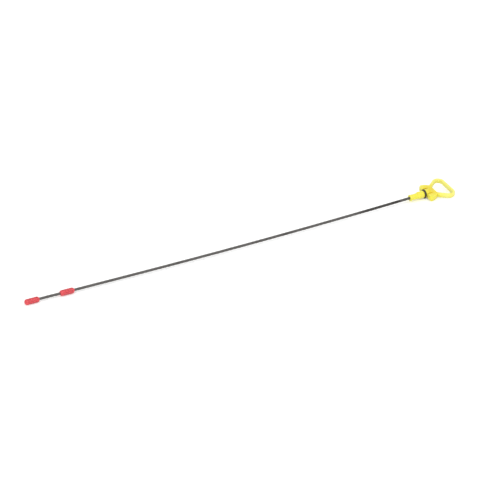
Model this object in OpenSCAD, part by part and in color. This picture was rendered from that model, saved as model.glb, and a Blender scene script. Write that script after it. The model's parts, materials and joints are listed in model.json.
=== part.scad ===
// Engine oil dipstick: a stiff wire strand that carries a finger-loop handle and two level markers.
// It lies at rest on the plane z = 0, with the level markers towards -X and the loop towards +X.
// It stands on its tip marker, its sealing ring and one side of its loop.
// The origin is the middle of its footprint. All sizes are in millimetres.

/* [Wire stem] */
// Diameter over the outer wires of the strand
stem_d = 3.4; // [2.8:0.1:3.6]
// Distance from the end of the tip marker to the nose of the handle
stem_reach = 528; // [480:1:700]
// Length along which an outer wire goes once round the core
stem_lay = 36; // [26:1:60]
// Length of stem held inside the handle
stem_grip = 16; // [10:0.5:20]
// Angle through which the stem is bent between the markers and the handle
stem_bend = 3.7; // [0:0.1:5]
// Length of the bent stretch, which ends at the handle
bent_len = 385; // [250:5:400]

/* [Level markers] */
// Length of each marker
marker_len = 19.5; // [15:0.5:26]
// Diameter of each marker
marker_d = 7.2; // [6.8:0.1:8.4]
// Distance between the middles of the two markers
marker_pitch = 46; // [36:0.5:70]
// Radius of the rounded ends
marker_round = 3.3; // [1:0.1:3.3]
// Plastic beyond the end of the stem in the tip marker
marker_tip_wall = 3.5; // [2:0.1:6]
// Number of grooves along each marker
flute_count = 8; // [4:1:10]
// Width of those grooves
flute_w = 1.1; // [0.6:0.1:1.4]
// Number of grooves round each marker
band_count = 3; // [1:1:5]
// Width of the grooves round each marker
band_w = 0.9; // [0.5:0.1:1.4]
// Depth of all grooves in the markers
groove_depth = 0.35; // [0.2:0.05:0.5]

/* [Plug] */
// Diameter of the rim at the nose
nose_d = 8; // [7.4:0.1:8.4]
// Length of the rim at the nose
nose_len = 2; // [1.4:0.1:3]
// Diameter of the shank behind the nose
shank_d = 7.2; // [6.4:0.1:7.4]
// Diameter of the land that centres the plug in its guide tube
land_d = 9; // [8.6:0.1:9.4]
// Length of that land
land_len = 7.4; // [5:0.1:9]
// Distance from the nose to the middle of the sealing ring
seal_reach = 21; // [17:0.5:26]
// Diameter of the collar behind the sealing ring
collar_d = 10.2; // [9.6:0.1:10.8]

/* [Sealing ring] */
// Thickness of the ring's cord
seal_cord = 2.1; // [1.8:0.1:2.4]
// Diameter of the groove's floor
seal_floor_d = 7; // [6.6:0.1:7.4]
// Width of the groove
seal_groove_w = 2.8; // [2.6:0.1:3.2]

/* [Cap] */
// Distance from the middle of the sealing ring to the ends of the wings
wing_setback = 1.4; // [1:0.1:5]
// Length of the wings, to the solid part of the cap
wing_len = 6.8; // [5:0.2:9]
// Length of the solid part of the cap
cap_len = 5.8; // [4:0.2:8]
// Width across the ends of the wings
wing_w = 28; // [24:0.5:30]
// Bevel on the outer corners of the wings
wing_bevel = 1.4; // [0.5:0.1:2]
// Width of the cap where the loop leaves it
cap_w = 17; // [14:0.5:20]
// Radius of the fillets between the cap and the arms of the loop
root_fillet = 8; // [2:0.5:9]
// Thickness of the wings and the cap
cap_thick = 6.4; // [5:0.2:8]
// Width of the mouth between the wings, which takes the rim of the guide tube
mouth_w = 12.4; // [12:0.1:13]

/* [Finger loop] */
// Distance from the cap to the middle of the grip bar
loop_reach = 20.8; // [18:0.2:30]
// Width of the loop from middle to middle of its bar
loop_w = 34.6; // [30:0.2:46]
// Radius of the two corners, to the middle of the bar
corner_r = 6.6; // [5:0.1:9]
// Width of the bar, in the plane of the loop
bar_w = 3.8; // [3:0.1:4.4]
// Thickness of the bar, across the plane of the loop
bar_thick = 6.2; // [5:0.1:8]

/* [Clearances] */
// Gap between the stem and the plastic that is moulded round it
mould_gap = 0.05; // [0.04:0.01:0.1]
// Gap between the sealing ring and its groove's floor
seal_gap = 0.05; // [0.02:0.01:0.1]

/* [Hidden] */
$fn = 96;

// How far joined shapes overlap, how far cutting shapes reach past, and the bevels of the plug's rim
eps = 0.01;
over = 1;
edge = 0.4;

// The strand: one core wire and six round it, four outline points to each outer wire
lobes = 6;
lobe_points = 4;
ring_points = lobes * lobe_points;
ring_pitch = 2.6;
valley_depth = 0.36;
stem_r = stem_d / 2;
marker_r = marker_d / 2;
upper_x = marker_len / 2 + marker_pitch;

// Stations along the axis of the handle, from its nose
groove_u = seal_reach - seal_groove_w / 2;
land_u = groove_u - land_len;
collar_u = seal_reach + seal_groove_w / 2;
wing_u = seal_reach + wing_setback;
web_u = wing_u + wing_len;
cap_end_u = web_u + cap_len;
grip_u = cap_end_u + loop_reach;

// The stem lies in one plane, straight from the markers to the bend, then curved to the nose.
// bow_y is how far it has swung sideways at a distance x from the end of the tip marker
bend_rate = tan(stem_bend) / (2 * bent_len);
bend_x = stem_reach - bent_len;
function bow_y(x) =
    x > stem_reach ? 0
    : x > bend_x ? bend_rate * (stem_reach - x) * (stem_reach - x)
    : bend_rate * bent_len * bent_len + (bend_x - x) * tan(stem_bend);
function bow_slope(x) =
    x > stem_reach ? 0
    : x > bend_x ? -2 * bend_rate * (stem_reach - x)
    : -tan(stem_bend);

// The plane of the stem rises from the tip marker to the sealing ring, which both stand on z = 0
seal_r = seal_floor_d / 2 + seal_gap + seal_cord;
lie_run = stem_reach + seal_reach - marker_round;
lie_pitch = atan((seal_r - marker_r) / lie_run);
function axis_z(x) = marker_r + (x - marker_round) * tan(lie_pitch);

// The loop: its corners, the tangent arms, and where the arms start inside the cap
arm_dir = [0.8, 0.6];
arm_angle = atan2(arm_dir.y, arm_dir.x);
corner_u = grip_u - corner_r;
corner_v = loop_w / 2 - corner_r;
root_u = web_u + bar_w / 2;
arm_len = (corner_u - corner_r * arm_dir.y - root_u) / arm_dir.x;
arm_v = corner_v + corner_r * arm_dir.x - arm_len * arm_dir.y;

// The cap's outline is an arc through the ends of the wings and the corners at the back
cap_run = cap_end_u - wing_u;
cap_centre_u = (wing_u + cap_end_u) / 2 - (wing_w * wing_w - cap_w * cap_w) / (8 * cap_run);
cap_plan_r = norm([cap_end_u - cap_centre_u, cap_w / 2]);

// The fillets cut just into the back of the cap and the inner edge of an arm
root_corner = [cap_end_u, arm_v + ((cap_end_u - root_u) * arm_dir.y - bar_w / 2) / arm_dir.x];
corner_half = (90 + arm_angle) / 2;
fillet_bite = 0.04;
fillet_run = root_fillet / tan(corner_half);
fillet_out = (root_fillet - fillet_bite) / sin(corner_half);
fillet_centre = root_corner + fillet_out * [sin(corner_half), -cos(corner_half)];

// The handle rolls until the -Y side of the loop, or the end of a wing, meets z = 0
bar_flat = (bar_thick - bar_w) / 2;
loop_drop = axis_z(stem_reach + corner_u) - bar_w / 2;
loop_roll = asin(loop_drop / norm([loop_w / 2, bar_flat])) - atan(bar_flat / (loop_w / 2));
wing_drop = axis_z(stem_reach + wing_u);
wing_roll = asin(wing_drop / norm([wing_w / 2, cap_thick / 2])) - atan(cap_thick / wing_w);
lie_roll = min(loop_roll, wing_roll);

// The footprint, so that the origin is its middle
min_y = -(loop_w / 2 * cos(lie_roll) + bar_w / 2);
max_y = max(-min_y, bow_y(marker_len / 2) + marker_r + (marker_len / 2 - marker_round) * sin(stem_bend));
middle_x = (stem_reach + grip_u + bar_w / 2) / 2;
middle_y = (min_y + max_y) / 2;

// Puts a shape that is drawn from the end of the tip marker into the part's frame
module from_tip() {
    translate([-middle_x, -middle_y, 0]) children();
}

// Puts a shape that is drawn along +X from the nose of the handle where the handle lies
module at_nose() {
    from_tip()
        translate([stem_reach, 0, axis_z(stem_reach)])
            rotate([lie_roll, -lie_pitch, 0])
                children();
}

// Turns a profile, drawn with its length along X, round the X axis
module turned() {
    rotate([0, 90, 0])
        rotate_extrude()
            rotate(90)
                mirror([0, 1])
                    children();
}

// A rod along X, from one station to another
module rod(d, from_x, to_x) {
    translate([from_x, 0, 0])
        rotate([0, 90, 0])
            cylinder(h = to_x - from_x, d = d);
}

// The outline of a bar with round edges
module bar_section() {
    square([bar_w, bar_thick - bar_w], center = true);
    for (side = [-1, 1])
        translate([0, side * bar_flat])
            circle(d = bar_w);
}

// The turned plug with its rim, land, ring groove and collar
module plug() {
    turned()
        polygon([
            [0, 0],
            [0, nose_d / 2 - edge],
            [edge, nose_d / 2],
            [nose_len - edge, nose_d / 2],
            [nose_len, shank_d / 2],
            [land_u - (land_d - shank_d) / 2, shank_d / 2],
            [land_u, land_d / 2],
            [groove_u, land_d / 2],
            [groove_u, seal_floor_d / 2],
            [collar_u, seal_floor_d / 2],
            [collar_u, collar_d / 2],
            [web_u + eps, collar_d / 2],
            [web_u + eps, 0],
        ]);
}

// The plan of the cap: a rounded plate with a mouth for the rim of the guide tube
module cap_plan() {
    difference() {
        intersection() {
            translate([cap_centre_u, 0])
                circle(r = cap_plan_r);
            polygon([
                [wing_u, wing_w / 2 - wing_bevel],
                [wing_u + wing_bevel, wing_w / 2],
                [cap_end_u, wing_w / 2],
                [cap_end_u, -wing_w / 2],
                [wing_u + wing_bevel, -wing_w / 2],
                [wing_u, -wing_w / 2 + wing_bevel],
            ]);
        }
        translate([wing_u - over, -mouth_w / 2])
            square([wing_len + over, mouth_w]);
    }
}

// A fillet in the corner between the back of the cap and an arm, with its straight sides inside them
module root_fillet_plan() {
    sunk = bar_w / 4;
    on_cap = root_corner - [0, fillet_run];
    on_arm = root_corner + fillet_run * arm_dir;
    difference() {
        polygon([
            on_cap - [sunk, 0],
            on_cap,
            fillet_centre,
            on_arm,
            on_arm + sunk * [-arm_dir.y, arm_dir.x],
            root_corner - [sunk, 0],
        ]);
        translate(fillet_centre)
            circle(r = root_fillet);
    }
}

// The flat cap with its two wings, which reach back towards the tip
module cap() {
    linear_extrude(height = cap_thick, center = true)
        cap_plan();
    linear_extrude(height = 2 * bar_flat, center = true) {
        root_fillet_plan();
        mirror([0, 1]) root_fillet_plan();
    }
}

// One arm of the loop with its corner
module loop_side() {
    far = 2 * (corner_r + bar_w);
    translate([corner_u, corner_v, 0]) {
        intersection() {
            rotate_extrude()
                translate([corner_r, 0])
                    bar_section();
            linear_extrude(height = bar_thick + 2 * over, center = true)
                polygon([[0, 0], [far, 0], [far, far], [0, far], [-far * arm_dir.y, far * arm_dir.x]]);
        }
        rotate([0, 0, arm_angle])
            translate([-arm_len, corner_r, 0])
                rotate([90, 0, 90])
                    linear_extrude(height = arm_len)
                        bar_section();
    }
}

// The D-shaped finger loop
module finger_loop() {
    loop_side();
    mirror([0, 1, 0]) loop_side();
    translate([grip_u, -corner_v, 0])
        rotate([-90, 0, 0])
            linear_extrude(height = 2 * corner_v)
                bar_section();
}

// The yellow moulding
module handle() {
    color("gold")
        at_nose()
            difference() {
                union() {
                    plug();
                    cap();
                    finger_loop();
                }
                rod(stem_d + 2 * mould_gap, -over, stem_grip + mould_gap);
            }
}

// The black ring in the plug's groove
module o_ring() {
    color("dimgray")
        at_nose()
            translate([seal_reach, 0, 0])
                rotate([0, 90, 0])
                    rotate_extrude()
                        translate([seal_floor_d / 2 + seal_gap + seal_cord / 2, 0])
                            circle(d = seal_cord);
}

// Outline of the strand: a ring of round wires, with the hollows between them filled a little
function strand_radius(a) =
    let (off = abs(((a + 180 / lobes) % (360 / lobes)) - 180 / lobes),
         wire_r = stem_r / 3,
         inside = wire_r * wire_r - pow(2 * wire_r * sin(off), 2))
    max(stem_r * (1 - valley_depth), 2 * wire_r * cos(off) + sqrt(max(0, inside)));

// A point of the outline at a distance x along the stem
function strand_point(x, j) =
    let (a = j * 360 / ring_points,
         turn = a + 360 * x / stem_lay,
         r = strand_radius(a),
         swing = atan(bow_slope(x)))
    [x - r * cos(turn) * sin(swing), bow_y(x) + r * cos(turn) * cos(swing), axis_z(x) + r * sin(turn)];

// The stiff wire strand
module wire_stem() {
    start_x = marker_tip_wall;
    end_x = stem_reach + stem_grip;
    steps = ceil((end_x - start_x) / ring_pitch);
    points = [
        for (i = [0:steps])
            for (j = [0:ring_points - 1])
                strand_point(start_x + (end_x - start_x) * i / steps, j)
    ];
    sides = [
        for (i = [0:steps - 1])
            for (j = [0:ring_points - 1])
                let (a = i * ring_points + j,
                     b = i * ring_points + (j + 1) % ring_points)
                each [[a, b, b + ring_points], [a, b + ring_points, a + ring_points]]
    ];
    first_end = [for (j = [0:ring_points - 1]) ring_points - 1 - j];
    last_end = [for (j = [0:ring_points - 1]) steps * ring_points + j];
    color("darkgray")
        from_tip()
            polyhedron(points = points, faces = concat(sides, [first_end, last_end]));
}

// The outside of a marker, lying along X round its own middle
module marker_body() {
    half = marker_len / 2;
    turned()
        intersection() {
            union() {
                translate([marker_round - half, 0])
                    square([marker_len - 2 * marker_round, marker_r]);
                translate([-half, 0])
                    square([marker_len, marker_r - marker_round]);
                for (side = [-1, 1])
                    translate([side * (half - marker_round), marker_r - marker_round])
                        circle(r = marker_round);
            }
            translate([-half, 0])
                square([marker_len, marker_r]);
        }
}

// The grooves along and round a marker, which hold the oil film
module marker_grooves() {
    grooved_len = marker_len - 2 * marker_round;
    for (i = [0:flute_count - 1])
        rotate([360 * (i + 0.5) / flute_count, 0, 0])
            translate([0, 0, marker_r])
                cube([grooved_len, flute_w, 2 * groove_depth], center = true);
    for (i = [1:band_count])
        translate([grooved_len * (i / (band_count + 1) - 0.5), 0, 0])
            difference() {
                rod(marker_d + over, -band_w / 2, band_w / 2);
                rod(marker_d - 2 * groove_depth, -band_w, band_w);
            }
}

// A marker that stands at a distance x from the end of the tip marker
module marker(x, bore_from) {
    color("crimson")
        from_tip()
            translate([x, bow_y(x), axis_z(x)])
                rotate([0, -lie_pitch, -stem_bend])
                    difference() {
                        marker_body();
                        marker_grooves();
                        rod(stem_d + 2 * mould_gap, bore_from, marker_len);
                    }
}

// The marker that the stem runs through, which shows the highest level
module upper_marker() {
    marker(upper_x, -marker_len);
}

// The marker that closes the end of the stem, which shows the lowest level
module tip_marker() {
    marker(marker_len / 2, marker_tip_wall - mould_gap - marker_len / 2);
}

handle();
o_ring();
wire_stem();
upper_marker();
tip_marker();
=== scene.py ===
"""Engine oil dipstick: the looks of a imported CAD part.

A stiff wire strand with two level markers and a finger-loop handle lies on a pale floor.
Sizes are in metres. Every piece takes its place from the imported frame.
"""

import json
import math

import bmesh
import bpy
import numpy as np
from bpy.props import FloatProperty, FloatVectorProperty, IntProperty, PointerProperty
from mathutils import Matrix, Vector


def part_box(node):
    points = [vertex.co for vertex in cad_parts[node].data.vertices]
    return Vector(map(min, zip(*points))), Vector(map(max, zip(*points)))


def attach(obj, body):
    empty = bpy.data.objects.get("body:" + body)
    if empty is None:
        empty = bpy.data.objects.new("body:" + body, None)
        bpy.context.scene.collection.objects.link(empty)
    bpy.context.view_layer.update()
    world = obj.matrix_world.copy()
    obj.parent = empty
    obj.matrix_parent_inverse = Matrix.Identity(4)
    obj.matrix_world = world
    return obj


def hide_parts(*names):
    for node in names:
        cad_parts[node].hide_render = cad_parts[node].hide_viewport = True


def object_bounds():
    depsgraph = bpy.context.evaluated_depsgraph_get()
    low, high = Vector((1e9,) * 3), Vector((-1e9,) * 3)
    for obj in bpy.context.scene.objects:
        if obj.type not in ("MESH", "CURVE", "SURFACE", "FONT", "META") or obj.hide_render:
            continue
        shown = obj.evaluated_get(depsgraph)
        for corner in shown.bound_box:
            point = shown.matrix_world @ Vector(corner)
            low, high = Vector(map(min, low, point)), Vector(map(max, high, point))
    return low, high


bl_info = {
    "name": "Engine oil dipstick",
    "version": (1, 0, 0),
    "blender": (4, 5, 0),
    "location": "3D View > Sidebar > Dipstick",
    "description": "Dresses the packed dipstick: strand, markers, handle, sealing ring and stage",
    "category": "Object",
}

MM = 0.001
BODY = "root"

# Triangle corners of a CAD node that lie closer than this are one vertex
MERGE_DISTANCE = 0.001 * MM

# Length at the handle's far end that is loop alone
LOOP_END = 15 * MM

# The stem bows sideways in a smooth curve and rises evenly, so polynomials of these degrees fit it
SIDE_DEGREE = 6
HEIGHT_DEGREE = 1

# Share of the way to its neighbours that one smoothing pass moves a vertex
SMOOTHING = 0.5

# Distances from the plug's nose along the handle. The cap's deep yellow comes in between the first
# two, and the loop's pale yellow takes over between the last two
DEEP_START = 22 * MM
DEEP_FULL = 27 * MM
PALE_START = 33 * MM
PALE_FULL = 42 * MM

# Distances from the middle of the cap: its deep yellow is full inside the first and gone past the second
DEEP_CORE = 4 * MM
DEEP_SIDE = 13 * MM

# Distances from the plug's nose along the handle between which the parting line comes in
PARTING_START = 24 * MM
PARTING_FULL = 27 * MM

# Distances from the loop's middle plane at which the parting line starts to fade and is gone
PARTING_CREST = 0.02 * MM
PARTING_EDGE = 0.16 * MM

# Distances from the plug's nose back along the strand. The dried oil comes in between the first two
# and fades away between the last two
OIL_START = 1 * MM
OIL_FULL = 7 * MM
OIL_FADE = 48 * MM
OIL_END = 75 * MM

# Share of dull steel that the wires rise towards, one after another round the strand
WIRE_DULLING = 0.3

# Distance from the sealing ring's middle plane at which its flash line is gone
FLASH_EDGE = 0.09 * MM

# The darkest patches of the floor are this share of its colour
FLOOR_PATCH = 0.995

# Rays that measure how enclosed a place is, for the painted shade in crevices
CREVICE_RAYS = 8

# Sockets of a Mix node that mixes colours
MIX_SHARE = 0
MIX_FIRST = 6
MIX_SECOND = 7
MIX_RESULT = 2

# Pixels along a side of the picture
PICTURE_SIDE = 480

# Width of the camera's sensor in millimetres
SENSOR_WIDTH = 36

# Nearest and furthest distances that the camera sees
SEEN_FROM = 0.1
SEEN_TO = 100

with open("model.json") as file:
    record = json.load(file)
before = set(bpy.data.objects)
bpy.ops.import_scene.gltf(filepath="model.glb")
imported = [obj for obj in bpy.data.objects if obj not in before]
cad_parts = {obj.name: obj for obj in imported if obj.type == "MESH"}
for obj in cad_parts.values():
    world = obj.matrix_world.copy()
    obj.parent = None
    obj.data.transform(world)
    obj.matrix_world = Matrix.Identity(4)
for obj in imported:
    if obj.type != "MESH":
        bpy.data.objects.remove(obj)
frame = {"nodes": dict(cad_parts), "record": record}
frame_lo, frame_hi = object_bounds()
record = frame["record"]


# Places read from the frame


def mesh_points(mesh):
    """The vertices of a mesh, one row each."""
    flat = np.empty(3 * len(mesh.vertices))
    mesh.vertices.foreach_get("co", flat)
    return flat.reshape(-1, 3)


def plug_axis():
    """A point on the plug's axis and the direction from the nose to the loop."""
    land = next(mount for mount in record["mounts"] if mount["name"] == "plug_land")
    return np.array(land["pos_m"]), -np.array(land["axis"])


def handle_axes():
    """The handle's nose and its directions: along it, across the loop and square to the loop."""
    on_axis, along = plug_axis()
    points = mesh_points(frame["nodes"]["handle"].data)
    reach = (points - on_axis) @ along
    loop = points[reach > reach.max() - LOOP_END]
    square = np.linalg.svd(loop - loop.mean(0), full_matrices=False)[2][2]
    square = square * np.sign(square[2])
    across = np.cross(square, along)
    return on_axis + along * reach.min(), along, across, square


def strand_curve():
    """The strand's centre line as smooth functions of x, with its two ends."""
    points = mesh_points(frame["nodes"]["wire_stem"].data)
    x = points[:, 0]
    side = np.polynomial.Polynomial.fit(x, points[:, 1], SIDE_DEGREE)
    height = np.polynomial.Polynomial.fit(x, points[:, 2], HEIGHT_DEGREE)
    return side, height, x.min(), x.max()


# Settings


class DipstickStrandSettings(bpy.types.PropertyGroup):
    """Sizes and colours of the wire strand."""

    wires: IntProperty(
        name="Outer wires", description="Wires laid round the core", default=6, min=5, max=8
    )
    wire_width: FloatProperty(
        name="Wire width",
        description="Diameter of each wire",
        default=1.133 * MM,
        unit="LENGTH",
        precision=5,
    )
    lay: FloatProperty(
        name="Lay",
        description="Length in which a wire goes once round the core",
        default=36 * MM,
        unit="LENGTH",
    )
    step: FloatProperty(
        name="Step",
        description="Distance between the rings of faces",
        default=1.0 * MM,
        unit="LENGTH",
        precision=5,
    )
    sides: IntProperty(
        name="Sides", description="Faces round each wire", default=12, min=6, max=24
    )
    steel: FloatVectorProperty(
        name="Steel",
        description="Colour of the drawn wire",
        default=(0.138, 0.132, 0.126),
        subtype="COLOR",
        size=3,
    )
    steel_bright: FloatVectorProperty(
        name="Bright steel",
        description="Colour that the brighter specks turn towards",
        default=(0.27, 0.26, 0.25),
        subtype="COLOR",
        size=3,
    )
    steel_dull: FloatVectorProperty(
        name="Dull steel",
        description="Colour that the duller wires turn towards",
        default=(0.105, 0.1, 0.095),
        subtype="COLOR",
        size=3,
    )
    # Also the colour of the painted shade between the wires
    oil: FloatVectorProperty(
        name="Oil",
        description="Colour where old oil has dried",
        default=(0.045, 0.041, 0.037),
        subtype="COLOR",
        size=3,
    )


class DipstickMouldingSettings(bpy.types.PropertyGroup):
    """Colours and edge softness of the plastic mouldings."""

    yellow: FloatVectorProperty(
        name="Yellow",
        description="Colour of the plug and the cap",
        default=(0.77, 0.712, 0.072),
        subtype="COLOR",
        size=3,
    )
    yellow_pale: FloatVectorProperty(
        name="Pale yellow",
        description="Colour of the thin loop",
        default=(0.785, 0.76, 0.19),
        subtype="COLOR",
        size=3,
    )
    # Also the colour of the painted shade in the handle's corners
    yellow_deep: FloatVectorProperty(
        name="Deep yellow",
        description="Colour of the handle's corners and of the thick of its cap",
        default=(0.745, 0.59, 0.02),
        subtype="COLOR",
        size=3,
    )
    yellow_flow: FloatVectorProperty(
        name="Flow marks",
        description="Colour that the marks of the flowing plastic turn towards",
        default=(0.81, 0.755, 0.2),
        subtype="COLOR",
        size=3,
    )
    red: FloatVectorProperty(
        name="Red",
        description="Colour of the level markers",
        default=(0.69, 0.062, 0.074),
        subtype="COLOR",
        size=3,
    )
    # Also the colour of the painted shade in the markers' grooves, besides their darker mottling
    red_deep: FloatVectorProperty(
        name="Deep red",
        description="Colour in the markers' grooves",
        default=(0.2, 0.01, 0.02),
        subtype="COLOR",
        size=3,
    )
    handle_grain: FloatProperty(
        name="Handle grain",
        description="Face size on the handle",
        default=0.24 * MM,
        unit="LENGTH",
        precision=6,
    )
    handle_passes: IntProperty(
        name="Handle softness",
        description="Smoothing passes over the handle",
        default=7,
        min=1,
        max=20,
    )
    marker_grain: FloatProperty(
        name="Marker grain",
        description="Face size on the markers",
        default=0.13 * MM,
        unit="LENGTH",
        precision=6,
    )
    marker_passes: IntProperty(
        name="Marker softness",
        description="Smoothing passes over the markers",
        default=3,
        min=1,
        max=20,
    )


class DipstickSealSettings(bpy.types.PropertyGroup):
    """Size and colours of the sealing ring."""

    cord: FloatProperty(
        name="Cord",
        description="Thickness of the ring",
        default=2.1 * MM,
        unit="LENGTH",
        precision=5,
    )
    turns: IntProperty(
        name="Steps round", description="Faces round the ring", default=144, min=24, max=256
    )
    sides: IntProperty(
        name="Sides", description="Faces round the cord", default=28, min=8, max=64
    )
    rubber: FloatVectorProperty(
        name="Rubber",
        description="Colour of the ring",
        default=(0.03, 0.026, 0.018),
        subtype="COLOR",
        size=3,
    )
    bloom: FloatVectorProperty(
        name="Bloom",
        description="Colour that the dusty bloom turns towards",
        default=(0.05, 0.048, 0.045),
        subtype="COLOR",
        size=3,
    )


class DipstickStageSettings(bpy.types.PropertyGroup):
    """Floor, light and camera."""

    floor_size: FloatProperty(
        name="Floor", description="Side of the floor", default=9.0, unit="LENGTH"
    )
    floor: FloatVectorProperty(
        name="Floor colour",
        description="Colour of the floor",
        default=(0.93, 0.93, 0.925),
        subtype="COLOR",
        size=3,
    )
    glow: FloatProperty(
        name="Floor glow",
        description="White that the floor adds in the camera's view and in reflections",
        default=0.17,
    )
    sky: FloatProperty(name="Sky", description="Strength of the even light", default=0.93)
    lamp_power: FloatProperty(
        name="Lamp power", description="Power of the large lamp", default=24.0, unit="POWER"
    )
    lamp_size: FloatProperty(
        name="Lamp size", description="Side of the large lamp", default=2.4, unit="LENGTH"
    )
    lamp_place: FloatVectorProperty(
        name="Lamp place",
        description="Middle of the large lamp, which points at the origin",
        default=(-0.6, -1.4, 1.45),
        subtype="TRANSLATION",
        size=3,
    )
    azimuth: FloatProperty(
        name="Azimuth",
        description="Camera's angle round the part",
        default=math.radians(-33.55),
        subtype="ANGLE",
    )
    elevation: FloatProperty(
        name="Elevation",
        description="Camera's angle above the floor",
        default=math.radians(26.2),
        subtype="ANGLE",
    )
    distance: FloatProperty(
        name="Distance",
        description="From the camera to the sealing ring",
        default=7.0,
        unit="LENGTH",
    )
    pixel: FloatProperty(
        name="Pixel",
        description="Length seen by one pixel at the ring",
        default=1.2185 * MM,
        unit="LENGTH",
        precision=6,
    )
    ring_right: FloatProperty(
        name="Ring right",
        description="Pixels from the middle of the picture to the ring",
        default=183.9,
        subtype="PIXEL",
    )
    ring_up: FloatProperty(
        name="Ring up",
        description="Pixels from the middle of the picture up to the ring",
        default=46.1,
        subtype="PIXEL",
    )


# Making and finishing pieces


def new_piece(name, mesh, node, material):
    """Links a finished mesh as a piece that stands for a CAD node."""
    piece = bpy.data.objects.new(name, mesh)
    bpy.context.scene.collection.objects.link(piece)
    mesh.materials.clear()
    mesh.materials.append(material)
    mesh.polygons.foreach_set("use_smooth", [True] * len(mesh.polygons))
    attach(piece, BODY)
    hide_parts(node)
    return piece


def plain_mesh(helper):
    """The evaluated mesh of a helper object, which is then removed."""
    evaluated = helper.evaluated_get(bpy.context.evaluated_depsgraph_get())
    mesh = bpy.data.meshes.new_from_object(evaluated)
    source = helper.data
    helper.modifiers.clear()
    bpy.data.objects.remove(helper)
    bpy.data.meshes.remove(source)
    return mesh


def moulded_copy(node, grain, passes):
    """A closed copy of a CAD node with its sharp edges rounded as a mould rounds them.

    The modifiers work on it in millimetres, and then it is scaled back to metres.
    """
    shape = bmesh.new()
    shape.from_mesh(frame["nodes"][node].data)
    bmesh.ops.remove_doubles(shape, verts=shape.verts, dist=MERGE_DISTANCE)
    bmesh.ops.scale(shape, vec=Vector((1, 1, 1)) / MM, verts=shape.verts)
    mesh = bpy.data.meshes.new(node + "_copy")
    shape.to_mesh(mesh)
    shape.free()
    helper = bpy.data.objects.new(node + "_copy", mesh)
    bpy.context.scene.collection.objects.link(helper)
    cells = helper.modifiers.new("Even faces", "REMESH")
    cells.mode = "VOXEL"
    cells.voxel_size = grain / MM
    soft = helper.modifiers.new("Soft edges", "SMOOTH")
    soft.factor = SMOOTHING
    soft.iterations = passes
    made = plain_mesh(helper)
    made.transform(Matrix.Scale(MM, 4))
    return made


def store(mesh, name, values):
    """Stores a number or a vector for each vertex under a name that materials read."""
    values = np.ascontiguousarray(values, dtype=np.float32)
    kind, field = ("FLOAT", "value") if values.ndim == 1 else ("FLOAT_VECTOR", "vector")
    layer = mesh.attributes.new(name, kind, "POINT")
    layer.data.foreach_set(field, values.ravel())


# Node trees


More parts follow.
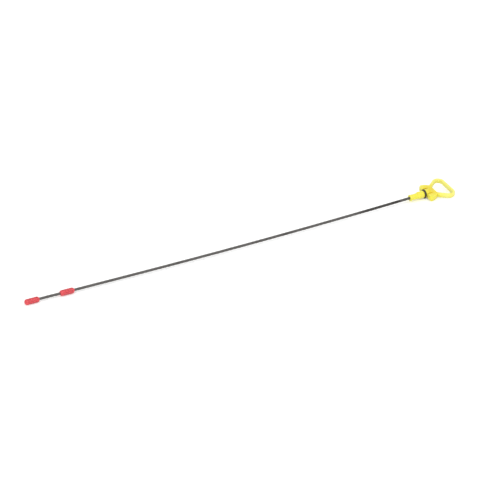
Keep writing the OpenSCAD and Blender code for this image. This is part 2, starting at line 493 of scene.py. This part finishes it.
class Tree:
    """Short calls for building one node tree, of a material, of the world or of geometry."""

    def __init__(self, data):
        self.nodes = data.nodes
        self.links = data.links
        self.nodes.clear()

    def put(self, node, key, value):
        """Links a socket to an input, or sets the input's value."""
        target = node.inputs[key]
        if isinstance(value, bpy.types.NodeSocket):
            self.links.new(value, target)
        elif target.type == "RGBA" and len(value) == 3:
            target.default_value = (*value, 1.0)
        else:
            target.default_value = value

    def add(self, kind, **inputs):
        """Adds a node. Inputs are given by name: a socket is linked, a value is set."""
        node = self.nodes.new(kind)
        for key, value in inputs.items():
            self.put(node, key.replace("_", " "), value)
        return node

    def end(self, kind, node):
        """Ends the tree in an output node that takes a node's result."""
        self.links.new(node.outputs[0], self.nodes.new(kind).inputs[0])

    def math(self, operation, first, second=0.0, clamp=False):
        """A Math node's result."""
        node = self.nodes.new("ShaderNodeMath")
        node.operation = operation
        node.use_clamp = clamp
        self.put(node, 0, first)
        self.put(node, 1, second)
        return node.outputs[0]

    def vector(self, operation, first, second=None, scale=None):
        """A Vector Math node's result."""
        node = self.nodes.new("ShaderNodeVectorMath")
        node.operation = operation
        for key, value in ((0, first), (1, second), ("Scale", scale)):
            if value is not None:
                self.put(node, key, value)
        return node.outputs[0]

    def parts(self, vector):
        """The three parts of a vector."""
        return tuple(self.add("ShaderNodeSeparateXYZ", Vector=vector).outputs)

    def ramp(self, value, low, high, at_low=0.0, at_high=1.0):
        """Maps a value from one range to another in a smooth step, clamped."""
        node = self.nodes.new("ShaderNodeMapRange")
        node.interpolation_type = "SMOOTHSTEP"
        self.put(node, "Value", value)
        self.put(node, "From Min", low)
        self.put(node, "From Max", high)
        self.put(node, "To Min", at_low)
        self.put(node, "To Max", at_high)
        return node.outputs[0]

    def mix(self, share, first, second):
        """Mixes a share of the second colour into the first."""
        node = self.nodes.new("ShaderNodeMix")
        node.data_type = "RGBA"
        self.put(node, MIX_SHARE, share)
        self.put(node, MIX_FIRST, first)
        self.put(node, MIX_SECOND, second)
        return node.outputs[MIX_RESULT]

    def place(self, along=1.0, across=1.0):
        """Object coordinates in metres, stretched along the part and across it."""
        where = self.nodes.new("ShaderNodeTexCoord").outputs["Object"]
        stretch = (along, across, across)
        return self.add("ShaderNodeMapping", Vector=where, Scale=stretch).outputs[0]

    def noise(self, place, scale=1.0, detail=2.0, rough=0.5):
        """A noise value between 0 and 1."""
        node = self.add("ShaderNodeTexNoise", Vector=place, Scale=scale, Detail=detail, Roughness=rough)
        return node.outputs[0]

    def stored(self, name, output="Fac"):
        """What the mesh stores under a name, as a number unless the output says otherwise."""
        node = self.nodes.new("ShaderNodeAttribute")
        node.attribute_name = name
        return node.outputs[output]

    def crevice_shade(self, reach, strength):
        """Painted shade: how enclosed a place is, from 0 in the open to its strength in a deep corner.
        """
        node = self.add("ShaderNodeAmbientOcclusion", Distance=reach)
        node.samples = CREVICE_RAYS
        node.only_local = True
        enclosed = self.math("SUBTRACT", 1.0, node.outputs["AO"], clamp=True)
        return self.math("MULTIPLY", enclosed, strength)

    def in_view(self):
        """1 in the camera's view and in reflections, 0 for the light that falls on things."""
        rays = self.nodes.new("ShaderNodeLightPath").outputs
        return self.math("ADD", rays["Is Camera Ray"], rays["Is Glossy Ray"], clamp=True)

    def bump(self, height, depth, under=None):
        """A bump of a given depth in metres, which may lie on another one."""
        node = self.add("ShaderNodeBump", Height=height, Distance=depth, Strength=1.0)
        if under is not None:
            self.put(node, "Normal", under)
        return node.outputs[0]

    def shade(self, **sockets):
        """Ends a material's tree in a Principled shader."""
        self.end("ShaderNodeOutputMaterial", self.add("ShaderNodeBsdfPrincipled", **sockets))


def new_material(name):
    """A material and its empty node tree."""
    material = bpy.data.materials.new(name)
    material.use_nodes = True
    return material, Tree(material.node_tree)


def yellow_plastic(look):
    """Moulded yellow: deeper where the cap is thick, with painted shade in its corners, paler on the
    thin loop.

    Faint flow marks lie along the part, and a parting line runs round the loop.
    """
    material, tree = new_material("yellow moulding")
    along, across, off_plane = tree.parts(tree.stored("from_nose", "Vector"))
    flow = tree.noise(tree.place(along=60, across=260), detail=3.0, rough=0.6)
    cloud = tree.noise(tree.place(), scale=130.0)
    grain = tree.noise(tree.place(), scale=5200.0)

    # Painted shade: the handle's corners and slots turn towards deep yellow, along with the random cloud
    corners = tree.crevice_shade(reach=2.4 * MM, strength=0.85)
    corner_shade_and_cloud = tree.math("ADD", corners, tree.ramp(cloud, 0.35, 0.75, at_high=0.22))
    past_plug = tree.ramp(along, DEEP_START, DEEP_FULL)
    before_loop = tree.ramp(along, PALE_FULL, PALE_START)
    in_middle = tree.ramp(tree.math("ABSOLUTE", across), DEEP_SIDE, DEEP_CORE, at_high=0.8)
    thick = tree.math("MULTIPLY", tree.math("MULTIPLY", past_plug, before_loop), in_middle)
    colour = tree.mix(tree.ramp(along, PALE_START, PALE_FULL), look.yellow, look.yellow_pale)
    colour = tree.mix(tree.math("ADD", corner_shade_and_cloud, thick, clamp=True), colour, look.yellow_deep)
    colour = tree.mix(tree.ramp(flow, 0.45, 0.8, at_high=0.18), colour, look.yellow_flow)

    from_plane = tree.math("ABSOLUTE", off_plane)
    ridge = tree.ramp(from_plane, PARTING_CREST, PARTING_EDGE, at_low=1.0, at_high=0.0)
    parting = tree.math("MULTIPLY", ridge, tree.ramp(along, PARTING_START, PARTING_FULL))
    surface = tree.bump(grain, depth=0.008 * MM)
    surface = tree.bump(flow, depth=0.03 * MM, under=surface)
    surface = tree.bump(parting, depth=0.07 * MM, under=surface)
    tree.shade(
        Base_Color=colour,
        Roughness=tree.ramp(cloud, 0.3, 0.7, at_low=0.3, at_high=0.42),
        Normal=surface,
        IOR=1.5,
        Subsurface_Weight=0.4,
        Subsurface_Radius=(1.0, 0.8, 0.3),
        Subsurface_Scale=3.0 * MM,
    )
    return material


def red_plastic(look):
    """Moulded red: mottled, with painted shade in the grooves."""
    material, tree = new_material("red moulding")
    cloud = tree.noise(tree.place(), scale=420.0, detail=3.0, rough=0.6)
    grain = tree.noise(tree.place(), scale=6400.0)
    # Painted shade: the grooves turn towards deep red, added to the darker mottling
    grooves = tree.crevice_shade(reach=0.9 * MM, strength=2.4)
    tone = tree.math("ADD", grooves, tree.ramp(cloud, 0.4, 0.7, at_high=0.5), clamp=True)
    surface = tree.bump(grain, depth=0.008 * MM)
    surface = tree.bump(cloud, depth=0.03 * MM, under=surface)
    tree.shade(
        Base_Color=tree.mix(tone, look.red, look.red_deep),
        Roughness=tree.ramp(cloud, 0.3, 0.7, at_low=0.26, at_high=0.4),
        Normal=surface,
        IOR=1.5,
    )
    return material


def strand_steel(look):
    """Drawn wire: a tone of its own for each wire, fine drawing lines and dried oil.

    The oil lies in patches, and most of all on the stretch before the plug. The gaps between the wires
    get painted shade in the same dark colour.
    """
    material, tree = new_material("strand steel")
    lines = tree.noise(tree.place(along=900, across=14000))
    patch = tree.noise(tree.place(), scale=26.0, detail=3.0, rough=0.65)
    speck = tree.noise(tree.place(), scale=1500.0)
    reach = tree.stored("to_nose")

    off_plug = tree.ramp(reach, OIL_START, OIL_FULL)
    oiled = tree.math("MULTIPLY", off_plug, tree.ramp(reach, OIL_END, OIL_FADE))
    dried = tree.math("MULTIPLY", oiled, tree.ramp(patch, 0.3, 0.6, at_low=0.55, at_high=0.95))
    # Painted shade in the gaps between the wires, joined with the real stain patches
    between = tree.crevice_shade(reach=0.6 * MM, strength=0.8)
    stain_and_shade = tree.math("ADD", tree.ramp(patch, 0.55, 0.72, at_high=0.5), between, clamp=True)
    dulled = tree.math("MULTIPLY", tree.stored("wire"), WIRE_DULLING)
    colour = tree.mix(tree.ramp(speck, 0.55, 0.75, at_high=0.25), look.steel, look.steel_bright)
    colour = tree.mix(dulled, colour, look.steel_dull)
    # Dried oil, stain patches and the painted shade between the wires all turn towards the oil colour
    colour = tree.mix(tree.math("MAXIMUM", stain_and_shade, dried), colour, look.oil)
    tree.shade(
        Base_Color=colour,
        Metallic=0.85,
        Roughness=tree.ramp(patch, 0.4, 0.7, at_low=0.46, at_high=0.34),
        Normal=tree.bump(lines, depth=0.012 * MM),
        Coat_Weight=0.25,
        Coat_Roughness=0.2,
    )
    return material


def black_rubber(look):
    """Rubber: satin, with a dusty bloom and a fine flash line round its middle plane."""
    material, tree = new_material("black rubber")
    dust = tree.noise(tree.place(), scale=700.0, detail=4.0, rough=0.65)
    grain = tree.noise(tree.place(), scale=5200.0)
    from_middle = tree.math("ABSOLUTE", tree.stored("off_middle"))
    flash = tree.ramp(from_middle, 0.0, FLASH_EDGE, at_low=1.0, at_high=0.0)
    surface = tree.bump(grain, depth=0.01 * MM)
    surface = tree.bump(flash, depth=0.05 * MM, under=surface)
    tree.shade(
        Base_Color=tree.mix(tree.ramp(dust, 0.5, 0.8, at_high=0.25), look.rubber, look.bloom),
        Roughness=tree.ramp(dust, 0.3, 0.7, at_low=0.42, at_high=0.58),
        Normal=surface,
    )
    return material


def strand_group(material):
    """Geometry Nodes that lay wires round a centre line."""
    group = bpy.data.node_groups.new("Lay strand", "GeometryNodeTree")
    for way, name, kind in (
        ("INPUT", "Geometry", "NodeSocketGeometry"),
        ("INPUT", "Outer wires", "NodeSocketInt"),
        ("INPUT", "Sides", "NodeSocketInt"),
        ("INPUT", "Wire radius", "NodeSocketFloat"),
        ("INPUT", "Lay", "NodeSocketFloat"),
        ("INPUT", "Start turn", "NodeSocketFloat"),
        ("INPUT", "To nose", "NodeSocketFloat"),
        ("OUTPUT", "Geometry", "NodeSocketGeometry"),
    ):
        group.interface.new_socket(name, in_out=way, socket_type=kind)
    tree = Tree(group)
    given = tree.add("NodeGroupInput").outputs

    def tube(path):
        """A closed round wire along a path."""
        ring = tree.add("GeometryNodeCurvePrimitiveCircle", Resolution=given["Sides"])
        tree.put(ring, "Radius", given["Wire radius"])
        body = tree.add("GeometryNodeCurveToMesh", Curve=path, Fill_Caps=True)
        tree.put(body, "Profile Curve", ring.outputs["Curve"])
        return body.outputs[0]

    line = tree.add("GeometryNodeMeshToCurve", Mesh=given["Geometry"]).outputs[0]
    copies = tree.add("GeometryNodeDuplicateElements")
    copies.domain = "SPLINE"
    tree.put(copies, "Geometry", line)
    tree.put(copies, "Amount", given["Outer wires"])

    share = tree.math("DIVIDE", copies.outputs["Duplicate Index"], given["Outer wires"])
    reach = tree.add("GeometryNodeSplineParameter").outputs["Length"]
    start = tree.math("ADD", share, given["Start turn"])
    turns = tree.math("ADD", start, tree.math("DIVIDE", reach, given["Lay"]))
    angle = tree.math("MULTIPLY", turns, math.tau)
    ahead = tree.add("GeometryNodeInputTangent").outputs[0]
    side = tree.vector("NORMALIZE", tree.vector("CROSS_PRODUCT", (0, 0, 1), ahead))
    over = tree.vector("CROSS_PRODUCT", ahead, side)
    radius = tree.math("MULTIPLY", given["Wire radius"], 2.0)
    sideways = tree.math("MULTIPLY", tree.math("COSINE", angle), radius)
    upwards = tree.math("MULTIPLY", tree.math("SINE", angle), radius)
    shift = tree.vector(
        "ADD", tree.vector("SCALE", side, scale=sideways), tree.vector("SCALE", over, scale=upwards)
    )
    laid = tree.add("GeometryNodeSetPosition", Geometry=copies.outputs["Geometry"], Offset=shift)
    path = laid.outputs[0]

    to_nose = tree.math("SUBTRACT", given["To nose"], reach)
    for name, value in (("wire", share), ("to_nose", to_nose)):
        named = tree.add("GeometryNodeStoreNamedAttribute", Geometry=path, Name=name)
        named.data_type = "FLOAT"
        named.domain = "POINT"
        tree.put(named, "Value", value)
        path = named.outputs[0]
    joined = tree.add("GeometryNodeJoinGeometry", Geometry=tube(path))
    tree.put(joined, "Geometry", tube(line))
    real = tree.add("GeometryNodeRealizeInstances", Geometry=joined.outputs[0])
    painted = tree.add("GeometryNodeSetMaterial", Geometry=real.outputs[0], Material=material)
    tree.end("NodeGroupOutput", painted)
    return group


# Operators


class DIPSTICK_OT_strand(bpy.types.Operator):
    """Lays the wires of the strand along the stem's centre line"""

    bl_idname = "dipstick.strand"
    bl_label = "Wire strand"

    def execute(self, context):
        look = context.scene.dipstick_strand
        side, height, start, end = strand_curve()
        nose = handle_axes()[0]
        x = np.linspace(start, end, int((end - start) / look.step) + 1)
        points = np.stack([x, side(x), height(x)], axis=1)
        mesh = bpy.data.meshes.new("centre_line")
        mesh.from_pydata(points.tolist(), [(at, at + 1) for at in range(len(points) - 1)], [])
        helper = bpy.data.objects.new("centre_line", mesh)
        context.scene.collection.objects.link(helper)
        material = strand_steel(look)
        group = strand_group(material)
        layer = helper.modifiers.new("Lay strand", "NODES")
        layer.node_group = group
        values = {
            "Outer wires": look.wires,
            "Sides": look.sides,
            "Wire radius": look.wire_width / 2,
            "Lay": look.lay,
            "Start turn": (start - frame_lo.x) / look.lay,
            "To nose": nose[0] - start,
        }
        for socket in group.interface.items_tree:
            if socket.in_out == "INPUT" and socket.name in values:
                layer[socket.identifier] = values[socket.name]
        new_piece("wire_strand", plain_mesh(helper), "wire_stem", material)
        return {"FINISHED"}


class DIPSTICK_OT_markers(bpy.types.Operator):
    """Makes the two red level markers"""

    bl_idname = "dipstick.markers"
    bl_label = "Level markers"

    def execute(self, context):
        look = context.scene.dipstick_moulding
        material = red_plastic(look)
        for node, name in (("upper_marker", "upper_level_marker"), ("tip_marker", "tip_level_marker")):
            mesh = moulded_copy(node, look.marker_grain, look.marker_passes)
            new_piece(name, mesh, node, material)
        return {"FINISHED"}


class DIPSTICK_OT_handle(bpy.types.Operator):
    """Makes the yellow handle with its plug, cap and finger loop"""

    bl_idname = "dipstick.handle"
    bl_label = "Handle"

    def execute(self, context):
        look = context.scene.dipstick_moulding
        mesh = moulded_copy("handle", look.handle_grain, look.handle_passes)
        nose, along, across, square = handle_axes()
        away = mesh_points(mesh) - nose
        store(mesh, "from_nose", np.stack([away @ along, away @ across, away @ square], axis=1))
        new_piece("handle_moulding", mesh, "handle", yellow_plastic(look))
        return {"FINISHED"}


class DIPSTICK_OT_seal(bpy.types.Operator):
    """Makes the rubber sealing ring round the plug"""

    bl_idname = "dipstick.seal"
    bl_label = "Sealing ring"

    def execute(self, context):
        look = context.scene.dipstick_seal
        lo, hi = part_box("o_ring")
        centre = np.array((lo + hi) / 2)
        cord = look.cord / 2
        middle = (hi.z - lo.z) / 2 - cord
        _, along, across, square = handle_axes()
        points, faces, off_middle = [], [], []
        for turn in range(look.turns):
            angle = math.tau * turn / look.turns
            out = across * math.cos(angle) + square * math.sin(angle)
            here = turn * look.sides
            ahead = (turn + 1) % look.turns * look.sides
            for side in range(look.sides):
                roll = math.tau * side / look.sides
                from_axis = out * (middle + cord * math.cos(roll))
                points.append(centre + from_axis + along * cord * math.sin(roll))
                off_middle.append(cord * math.sin(roll))
                after = (side + 1) % look.sides
                faces.append((here + side, ahead + side, ahead + after, here + after))
        mesh = bpy.data.meshes.new("sealing_ring")
        mesh.from_pydata([tuple(point) for point in points], [], faces)
        shape = bmesh.new()
        shape.from_mesh(mesh)
        bmesh.ops.recalc_face_normals(shape, faces=shape.faces)
        shape.to_mesh(mesh)
        shape.free()
        store(mesh, "off_middle", off_middle)
        new_piece("sealing_ring", mesh, "o_ring", black_rubber(look))
        return {"FINISHED"}


class DIPSTICK_OT_stage(bpy.types.Operator):
    """Sets the floor, the light and the camera"""

    bl_idname = "dipstick.stage"
    bl_label = "Stage"

    def execute(self, context):
        look = context.scene.dipstick_stage
        self.floor(context, look)
        self.light(context, look)
        self.camera(context, look)
        context.scene.view_settings.view_transform = "Standard"
        return {"FINISHED"}

    def floor(self, context, look):
        """A wide pale floor that the dipstick lies on."""
        half = look.floor_size / 2
        corners = [(-half, -half, 0), (half, -half, 0), (half, half, 0), (-half, half, 0)]
        mesh = bpy.data.meshes.new("floor")
        mesh.from_pydata(corners, [], [(0, 1, 2, 3)])
        piece = bpy.data.objects.new("floor", mesh)
        context.scene.collection.objects.link(piece)
        material, tree = new_material("pale floor")
        patch = tree.ramp(tree.noise(tree.place(), scale=3.0), 0.3, 0.7)
        darker = tuple(part * FLOOR_PATCH for part in look.floor)
        tree.shade(
            Base_Color=tree.mix(patch, look.floor, darker),
            Roughness=0.9,
            Emission_Color=(1.0, 1.0, 1.0),
            Emission_Strength=tree.math("MULTIPLY", tree.in_view(), look.glow),
        )
        mesh.materials.append(material)

    def light(self, context, look):
        """An even white sky and one large soft lamp."""
        world = bpy.data.worlds.new("studio")
        world.use_nodes = True
        tree = Tree(world.node_tree)
        level = tree.ramp(tree.in_view(), 0.0, 1.0, at_low=look.sky)
        sky = tree.add("ShaderNodeBackground", Color=(1.0, 1.0, 1.0), Strength=level)
        tree.end("ShaderNodeOutputWorld", sky)
        context.scene.world = world
        lamp = bpy.data.lights.new("key", "AREA")
        lamp.size = look.lamp_size
        lamp.energy = look.lamp_power
        key = bpy.data.objects.new("key", lamp)
        context.scene.collection.objects.link(key)
        key.location = look.lamp_place
        key.rotation_euler = (-key.location).to_track_quat("-Z", "Y").to_euler()

    def camera(self, context, look):
        """A long lens at the photograph's angle, with the sealing ring where the photograph has it."""
        lo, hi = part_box("o_ring")
        ring = (lo + hi) / 2
        flat = math.cos(look.elevation)
        back = Vector((
            math.sin(look.azimuth) * flat, -math.cos(look.azimuth) * flat, math.sin(look.elevation)
        ))
        right = Vector((math.cos(look.azimuth), math.sin(look.azimuth), 0))
        up = back.cross(right)
        aim = ring - (right * look.ring_right + up * look.ring_up) * look.pixel
        lens = bpy.data.cameras.new("camera")
        lens.sensor_width = SENSOR_WIDTH
        lens.lens = SENSOR_WIDTH * look.distance / (PICTURE_SIDE * look.pixel)
        lens.clip_start = SEEN_FROM
        lens.clip_end = SEEN_TO
        camera = bpy.data.objects.new("camera", lens)
        context.scene.collection.objects.link(camera)
        place = ring + back * look.distance
        away = (place - aim).normalized()
        level = (right - away * right.dot(away)).normalized()
        axes = Matrix((level, away.cross(level), away)).transposed()
        camera.matrix_world = Matrix.Translation(place) @ axes.to_4x4()
        context.scene.camera = camera


class DIPSTICK_PT_panel(bpy.types.Panel):
    """Lists the operators of the dipstick and their settings"""

    bl_idname = "DIPSTICK_PT_panel"
    bl_label = "Engine oil dipstick"
    bl_space_type = "VIEW_3D"
    bl_region_type = "UI"
    bl_category = "Dipstick"

    def draw(self, context):
        for operator in OPERATORS:
            self.layout.operator(operator.bl_idname)
        for name in SETTINGS:
            settings = getattr(context.scene, name)
            box = self.layout.box()
            for prop in settings.bl_rna.properties:
                if prop.identifier not in ("rna_type", "name"):
                    box.prop(settings, prop.identifier)


SETTINGS = {
    "dipstick_strand": DipstickStrandSettings,
    "dipstick_moulding": DipstickMouldingSettings,
    "dipstick_seal": DipstickSealSettings,
    "dipstick_stage": DipstickStageSettings,
}
OPERATORS = (
    DIPSTICK_OT_strand,
    DIPSTICK_OT_markers,
    DIPSTICK_OT_handle,
    DIPSTICK_OT_seal,
    DIPSTICK_OT_stage,
)


def register():
    """Registers the settings, the operators and the panel."""
    for name, kind in SETTINGS.items():
        bpy.utils.register_class(kind)
        setattr(bpy.types.Scene, name, PointerProperty(type=kind))
    for kind in (*OPERATORS, DIPSTICK_PT_panel):
        bpy.utils.register_class(kind)


def unregister():
    """Takes everything out again."""
    for kind in (DIPSTICK_PT_panel, *reversed(OPERATORS)):
        bpy.utils.unregister_class(kind)
    for name, kind in SETTINGS.items():
        delattr(bpy.types.Scene, name)
        bpy.utils.unregister_class(kind)


def main():
    """Makes every piece in order."""
    register()
    for operator in OPERATORS:
        group, name = operator.bl_idname.split(".")
        getattr(getattr(bpy.ops, group), name)()


if __name__ == "__main__":
    main()
